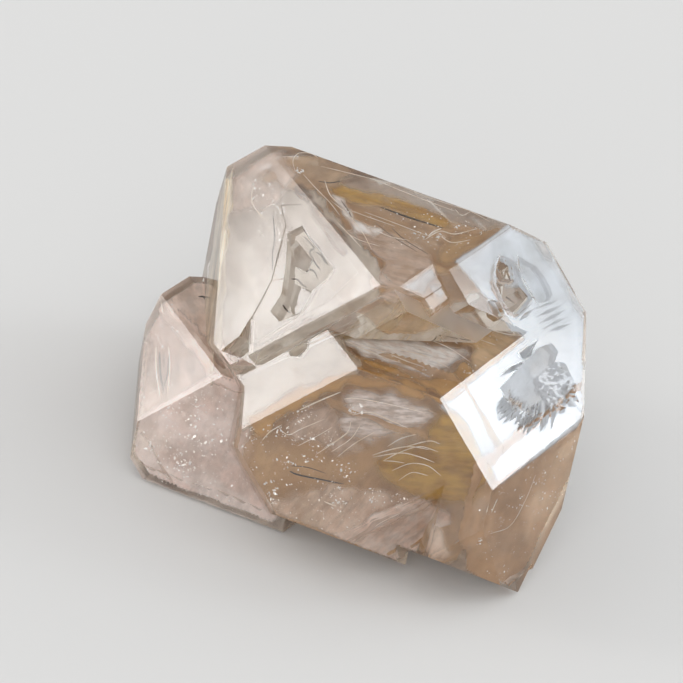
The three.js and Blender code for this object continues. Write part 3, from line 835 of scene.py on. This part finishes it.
def add_needles():
    needle = plain_material("needle", (0.010, 0.008, 0.006), (0.05, 0.035, 0.02), 0.35)
    # Dark rods: cracks, and along the large window painted shade at its walls.
    crack_and_shade = plain_material("crack_and_shade", (0.05, 0.035, 0.022), (0.14, 0.10, 0.07), 0.5)
    silk = plain_material("silk", (0.86, 0.76, 0.62), (1.0, 0.96, 0.90), 0.3)
    add_fibres(
        "needles_dark",
        [
            (UPPER_TOP, 2.0, 0.12, [(6.3, 6.4), (7.5, 3.0), (8.9, -0.1)]),
            (MIDDLE_WALL, 1.0, 0.10, [(-7.9, -4.1), (-7.1, -5.0), (-3.5, -7.8)]),
            (MIDDLE_WALL, 1.0, 0.05, [(-7.6, -3.6), (-6.0, -4.6), (-4.6, -6.0)]),
        ],
        needle,
    )
    add_fibres(
        "cracks_and_rim_shade",
        [
            # Beside the apex of the upper crystal and in its top.
            (UPPER_TOP, 0.9, 0.06, [(3.4, 9.4), (2.7, 7.9), (2.1, 6.8)]),
            (UPPER_TOP, 0.9, 0.08, [(3.9, 12.9), (4.7, 11.9), (6.0, 11.3)]),
            (UPPER_TOP, 1.2, 0.05, [(3.5, 4.8), (3.2, 1.9), (3.3, -1.0)]),
            (UPPER_TOP, 1.2, 0.06, [(4.2, 3.1), (3.8, 1.0), (3.9, -1.9)]),
            # Painted shade: dark rods under the floor and along the rims of the large window, where its
            # walls fall in shade.
            (
                UPPER_SLOPE, 1.5, 0.14,
                [(2.9, 11.0), (3.3, 9.7), (3.7, 8.6), (4.1, 7.5), (4.1, 6.5), (4.4, 5.7)],
            ),
            (
                UPPER_SLOPE, 1.5, 0.10,
                [(2.7, 10.2), (3.3, 8.8), (3.4, 8.3), (2.8, 8.2), (3.1, 6.5), (3.4, 5.7)],
            ),
            (UPPER_SLOPE, 1.5, 0.10, [(3.5, 7.8), (4.0, 7.0), (4.3, 6.2)]),
            (UPPER_SLOPE, 1.5, 0.10, [(1.5, 6.4), (2.2, 6.3), (2.7, 5.8), (2.8, 4.8)]),
            (UPPER_SLOPE, 1.7, 0.10, [(-0.1, 6.5), (0.6, 6.0), (0.9, 5.2), (1.3, 4.7), (1.8, 3.6)]),
            (UPPER_SLOPE, 1.6, 0.10, [(-1.9, 4.5), (-1.4, 3.1), (-0.3, 2.6)]),
            (UPPER_SLOPE, 0.5, 0.08, [(0.4, 14.2), (-0.1, 11.5), (-0.9, 9.5), (-1.4, 7.7)]),
            # In the top of the middle crystal.
            (MIDDLE_TOP, 1.0, 0.07, [(3.0, -5.0), (1.7, -5.8), (0.0, -6.0)]),
            (MIDDLE_TOP, 1.1, 0.05, [(3.8, -5.2), (5.1, -8.1), (7.6, -10.2)]),
            # In the left crystal.
            (LEFT_SLOPE, 0.6, 0.10, [(-17.6, 7.3), (-18.1, 5.0), (-18.3, 2.4)]),
            (LEFT_SLOPE, 0.6, 0.08, [(-16.7, 6.2), (-17.4, 4.2), (-18.3, 2.9)]),
            (LEFT_TOP, 0.6, 0.12, [(-2.9, 20.4), (-2.6, 19.9), (-2.9, 19.5)]),
            (LEFT_TOP, 0.6, 0.14, [(-4.9, 19.2), (-4.5, 18.8), (-4.7, 18.3)]),
        ],
        crack_and_shade,
    )
    add_fibres(
        "fibres_light",
        [
            # Lines along the upper edge of the upper crystal, and around its apex.
            (
                UPPER_TOP, 0.8, 0.05,
                [(6.0, 14.3), (7.3, 12.0), (8.8, 9.1), (9.6, 6.3), (10.6, 3.0), (11.5, 0.4)],
            ),
            (UPPER_TOP, 0.7, 0.05, [(9.5, 8.9), (11.1, 3.4), (12.8, -0.7), (13.9, -3.9)]),
            (UPPER_TOP, 0.9, 0.05, [(12.7, 0.2), (13.0, -1.5), (13.1, -3.1)]),
            (UPPER_TOP, 0.8, 0.045, [(3.2, 15.5), (4.4, 16.8), (5.8, 17.2), (6.8, 16.4), (6.9, 15.4)]),
            (UPPER_TOP, 0.8, 0.05, [(3.5, 14.6), (2.8, 12.4), (2.1, 9.8), (1.3, 7.8)]),
            (UPPER_TOP, 0.8, 0.06, [(4.5, 12.5), (3.2, 10.8), (2.7, 9.3)]),
            (UPPER_TOP, 0.9, 0.05, [(0.3, 7.4), (-0.3, 5.1), (-0.9, 3.1)]),
            (UPPER_TOP, 1.2, 0.05, [(4.0, 6.6), (5.1, 3.4), (6.3, -0.4)]),
            (UPPER_TOP, 0.8, 0.07, [(5.3, -0.4), (7.6, -0.6), (8.5, -1.9), (11.1, -2.9)]),
            (UPPER_TOP, 0.8, 0.10, [(6.0, -0.3), (7.0, -0.2), (8.1, -0.4)]),
            (UPPER_TOP, 0.9, 0.06, [(7.1, -1.0), (7.2, -2.5), (9.1, -3.5)]),
            (UPPER_TOP, 0.9, 0.06, [(11.8, 0.6), (11.6, -0.5), (12.8, -0.7)]),
            # In the top of the middle crystal.
            (MIDDLE_TOP, 0.9, 0.10, [(3.4, -5.1), (2.4, -6.2), (1.9, -7.6), (1.6, -9.1)]),
            (MIDDLE_TOP, 1.0, 0.06, [(5.3, -8.7), (6.2, -10.2), (7.0, -11.7), (8.0, -12.7)]),
            (MIDDLE_TOP, 1.0, 0.045, [(5.2, -7.4), (6.9, -9.4), (8.1, -11.7)]),
            (MIDDLE_TOP, 1.1, 0.05, [(-7.0, -1.1), (-6.4, -3.3), (-5.6, -5.9), (-5.1, -6.9)]),
            (MIDDLE_TOP, 1.1, 0.05, [(-4.9, -4.7), (-4.0, -7.3), (-2.9, -10.3)]),
            (MIDDLE_TOP, 1.0, 0.05, [(-6.3, -2.5), (-5.2, -4.9), (-4.4, -7.5), (-3.1, -10.5)]),
            (MIDDLE_TOP, 1.0, 0.045, [(-3.7, -5.7), (-2.4, -8.0), (-1.9, -10.8)]),
            (MIDDLE_TOP, 1.0, 0.045, [(-0.1, -6.8), (0.5, -8.9), (0.5, -11.6)]),
            (MIDDLE_TOP, 1.0, 0.05, [(4.4, -6.6), (3.8, -9.1), (4.6, -11.8)]),
            # Across the pink part of the upper crystal's top.
            (UPPER_TOP, 0.9, 0.045, [(2.5, 10.1), (2.1, 7.3), (1.1, 4.6), (-0.3, 2.2)]),
            (UPPER_TOP, 0.9, 0.045, [(-0.3, 5.8), (-0.1, 4.0), (0.8, 2.0)]),
            (UPPER_TOP, 1.0, 0.045, [(2.4, 4.4), (2.9, 2.3), (4.0, 0.6)]),
            (UPPER_TOP, 1.0, 0.045, [(2.9, 7.7), (3.7, 5.4), (4.6, 3.0)]),
            # Behind the front wall of the middle crystal: a fan that rises to the right.
            (MIDDLE_WALL, 1.1, 0.05, [(-6.6, 0.6), (-6.1, -0.7), (-4.5, -0.8), (-1.8, -1.0)]),
            (MIDDLE_WALL, 1.1, 0.045, [(-5.8, -2.2), (-3.6, -2.2), (-1.5, -2.1)]),
            (MIDDLE_WALL, 1.0, 0.045, [(-4.5, -3.8), (-2.2, -3.6), (-0.1, -3.3)]),
            (MIDDLE_WALL, 1.0, 0.045, [(-2.5, -5.0), (-0.2, -4.6), (2.4, -4.5)]),
            (MIDDLE_WALL, 1.0, 0.06, [(-8.8, 0.0), (-7.6, 0.4), (-6.1, 0.5)]),
            (MIDDLE_WALL, 1.0, 0.05, [(1.0, -1.9), (2.8, -2.5), (4.2, -4.1), (5.5, -5.7)]),
            (MIDDLE_WALL, 1.1, 0.05, [(-3.4, -3.6), (-0.5, -3.3), (0.6, -2.4)]),
            (MIDDLE_WALL, 1.1, 0.05, [(-2.9, -4.3), (-0.4, -4.0), (1.2, -3.2)]),
            (MIDDLE_WALL, 1.1, 0.05, [(1.1, -0.1), (2.4, -0.7), (4.9, -2.6), (7.6, -4.9)]),
            (MIDDLE_WALL, 1.0, 0.06, [(0.7, -6.5), (2.6, -6.8), (4.6, -7.4), (6.3, -8.6)]),
            (MIDDLE_WALL, 1.0, 0.06, [(0.7, -6.7), (3.5, -7.6), (5.0, -8.8), (6.1, -10.0)]),
            (MIDDLE_WALL, 1.1, 0.05, [(1.4, -7.5), (2.3, -8.0), (3.3, -8.7)]),
            (MIDDLE_WALL, 1.0, 0.06, [(2.6, -6.4), (4.2, -6.3), (5.9, -6.6)]),
            (MIDDLE_WALL, 1.0, 0.06, [(4.0, -7.2), (6.7, -7.8), (7.6, -8.6)]),
            (MIDDLE_WALL, 1.0, 0.05, [(1.5, -7.5), (3.4, -7.5), (5.6, -7.9), (7.0, -9.2)]),
            (MIDDLE_WALL, 1.0, 0.05, [(1.7, -8.8), (3.8, -9.0), (5.3, -10.0), (6.0, -11.5)]),
            (MIDDLE_WALL, 1.0, 0.045, [(1.8, -10.0), (3.5, -9.9), (4.8, -10.9)]),
            (MIDDLE_WALL, 0.9, 0.08, [(-3.6, 1.0), (-1.3, 0.9), (1.2, 0.7)]),
            (MIDDLE_WALL, 0.8, 0.10, [(-0.6, -14.4), (1.8, -14.5), (4.6, -14.4)]),
            (MIDDLE_WALL, 0.8, 0.05, [(-6.2, -13.7), (-4.3, -13.5), (-2.2, -13.0), (0.3, -13.0)]),
            (MIDDLE_WALL, 1.0, 0.08, [(-6.3, -8.5), (-5.8, -9.1), (-5.4, -9.5)]),
            # In the left crystal, the lower right face and the large window.
            (LEFT_SLOPE, 0.7, 0.05, [(-16.0, 13.1), (-16.1, 12.0), (-16.3, 10.9)]),
            (LEFT_SLOPE, 0.5, 0.09, [(-17.9, 7.9), (-18.5, 5.2), (-18.8, 2.2)]),
            (LEFT_SLOPE, 0.5, 0.08, [(-16.4, 7.2), (-16.9, 4.7), (-17.8, 2.3)]),
            (LOWER_RIGHT, 0.8, 0.05, [(1.3, -5.1), (-0.4, -7.3), (-3.0, -9.0), (-6.5, -7.9)]),
            (LOWER_RIGHT, 0.8, 0.08, [(-5.4, -4.2), (-5.9, -4.7), (-6.4, -5.3)]),
            (UPPER_SLOPE, 0.8, 0.05, [(-0.9, 18.6), (-1.6, 17.0), (-1.3, 15.3), (-0.5, 13.6)]),
            (UPPER_SLOPE, 0.8, 0.05, [(-0.4, 15.3), (0.8, 15.0), (1.3, 13.4)]),
            (UPPER_SLOPE, 0.4, 0.05, [(3.4, 3.3), (1.8, 1.8), (-0.5, 1.1), (-3.6, 0.8)]),
        ],
        silk,
    )


def bursts(face, depth, reach, count, places, tilt=0.5):
    """Clouds of flakes, one round each of the places across and up a face."""
    square = [(-reach, -reach), (reach, -reach), (reach, reach), (-reach, reach)]
    clouds = []
    for x, y in places:
        outline = [(x + across, y + up) for across, up in square]
        clouds.append((face, depth, depth + BURST_DEPTH, outline, count, *BURST_SIZES, tilt))
    return clouds


def add_sparkles():
    """Small bright cleavage flakes, strewn and in bursts."""
    flake = plain_material("flake", (0.93, 0.90, 0.86), (1.0, 1.0, 1.0), 0.15)
    left = [(-24.6, 6.0), (-12.0, 7.2), (-11.0, 4.0), (-14.5, -6.5), (-19, -5.5), (-25.0, 2.0)]
    bank = [(-17, 15), (-12, 3), (-24, 2), (-20, 10)]
    wall = [(-11.0, 1.5), (-2.5, 1.5), (-1.0, -6.0), (1.5, -16.0), (-12, -9)]
    window = [(-1.5, 19.3), (2.5, 16.8), (1.3, 10.4), (-3.5, 12.0)]
    roof = [(9.5, 4.0), (13.0, -0.5), (13.6, -3.4), (6.0, -4.0), (1.0, 2.0), (4.0, 8.0)]
    shelf = [(-7, -1), (2, -4), (8, -12.5), (-6, -12.5), (-8.5, -5)]
    lower = [(9.9, -2.8), (7.5, -10.1), (-2.7, -16.6), (-16.0, -9.0), (-12.5, -1.2)]
    wall_spots = [
        (-6.1, -0.3), (-3.6, 0.6), (-4.2, -2.2), (-2.1, -2.7), (-5.0, -3.6), (-7.4, -3.0), (-4.8, -8.2),
        (-5.0, -9.5), (-10.4, -4.7), (-11.0, -5.8), (1.9, -1.7), (-9.3, 1.0), (-2.6, -6.6), (-1.1, -10.2),
        (0.9, -11.8),
    ]
    left_spots = [
        (-17.4, 7.6), (-18.5, 6.9), (-14.8, 6.1), (-15.3, 2.1), (-19.4, 4.7), (-20.2, 1.4), (-22.0, 4.4),
        (-16.4, 4.4), (-17.3, 2.6), (-19.9, 0.5),
    ]
    strewn = [
        (LEFT_WALL, 0.2, 1.3, left, 170, 0.05, 0.20, 0.5),
        (LEFT_SLOPE, 0.2, 1.3, bank, 50, 0.05, 0.16, 0.5),
        (MIDDLE_WALL, 0.2, 1.3, wall, 190, 0.05, 0.22, 0.5),
        (UPPER_SLOPE, 0.3, 1.2, window, 60, 0.05, 0.20, 0.6),
        (UPPER_TOP, 0.3, 1.4, roof, 90, 0.05, 0.18, 0.5),
        (MIDDLE_TOP, 0.3, 1.4, shelf, 90, 0.05, 0.16, 0.5),
        (LOWER_RIGHT, 0.2, 1.4, lower, 130, 0.05, 0.22, 0.5),
    ]
    gathered = [
        # Beside the apex of the upper crystal, a tight burst of white flakes is a painted glint star.
        *bursts(UPPER_TOP, 0.3, 0.45, 16, [(3.5, 15.2)]),
        *bursts(UPPER_TOP, 0.4, 0.7, 9, [(5.5, 0.4), (6.5, -1.2), (9.3, -1.7), (11.1, -3.0), (2.6, 7.9)]),
        *bursts(UPPER_SLOPE, 0.3, 0.6, 9, [(-1.0, 18.4), (-0.8, 17.1), (0.4, 15.8), (1.6, 14.2)]),
        *bursts(UPPER_SLOPE, 0.3, 0.35, 8, [(-1.7, 12.9)]),
        *bursts(MIDDLE_TOP, 0.4, 0.6, 8, [(1.8, -6.6), (4.7, -9.4), (-0.8, -12.4), (-4.6, -9.0)]),
        *bursts(MIDDLE_WALL, 0.3, 0.8, 9, wall_spots),
        *bursts(LEFT_WALL, 0.1, 0.8, 8, left_spots),
        *bursts(LEFT_SLOPE, 0.3, 0.6, 6, [(-15.8, 11.4), (-15.3, 8.8), (-17.6, 7.5)]),
        *bursts(
            LOWER_RIGHT, 0.3, 0.8, 8,
            [(-5.0, -3.3), (-10.1, -2.0), (-1.4, -6.7), (-8.3, -8.3), (-4.9, -7.2), (2.1, -6.2),
             (-11.7, -4.2)],
        ),
    ]
    add_flakes("flakes", strewn + gathered, flake, seed=7)
    glint = plain_material("glint", (0.90, 0.88, 0.84), (1.0, 0.99, 0.97), 0.3, metallic=1.0)
    glints = [
        (LEFT_WALL, 0.2, 0.5, left, 240, 0.05, 0.20, 0.035),
        (LEFT_SLOPE, 0.3, 1.2, bank, 40, 0.05, 0.18, 0.08),
        (MIDDLE_WALL, 0.2, 1.0, wall, 90, 0.05, 0.22, 0.07),
        (UPPER_SLOPE, 0.3, 1.2, window, 50, 0.06, 0.26, 0.14),
        (UPPER_TOP, 0.3, 1.2, roof, 50, 0.05, 0.20, 0.07),
        (MIDDLE_TOP, 0.3, 1.2, shelf, 40, 0.05, 0.16, 0.07),
        (LOWER_RIGHT, 0.3, 1.2, lower, 70, 0.05, 0.22, 0.07),
    ]
    stars = [
        *bursts(UPPER_TOP, 0.3, 0.4, 10, [(3.5, 15.2)]),
        *bursts(UPPER_SLOPE, 0.3, 0.4, 4, [(-1.1, 18.6), (1.6, 14.2), (-1.7, 12.9)]),
        *bursts(LEFT_WALL, 0.1, 0.9, 18, left_spots, tilt=0.035),
        *bursts(MIDDLE_WALL, 0.2, 0.7, 5, wall_spots, tilt=0.05),
    ]
    add_flakes("glints", glints + stars, glint, seed=11, thickness=0.04, glinting=True)


# ---- Scene -------------------------------------------------------------------------------------

add_camera()
add_floor()
add_lights()
add_quartz()
add_hazes()
add_veils()
add_needles()
add_sparkles()

bpy.context.scene.view_settings.view_transform = "Standard"

bpy.context.view_layer.update()
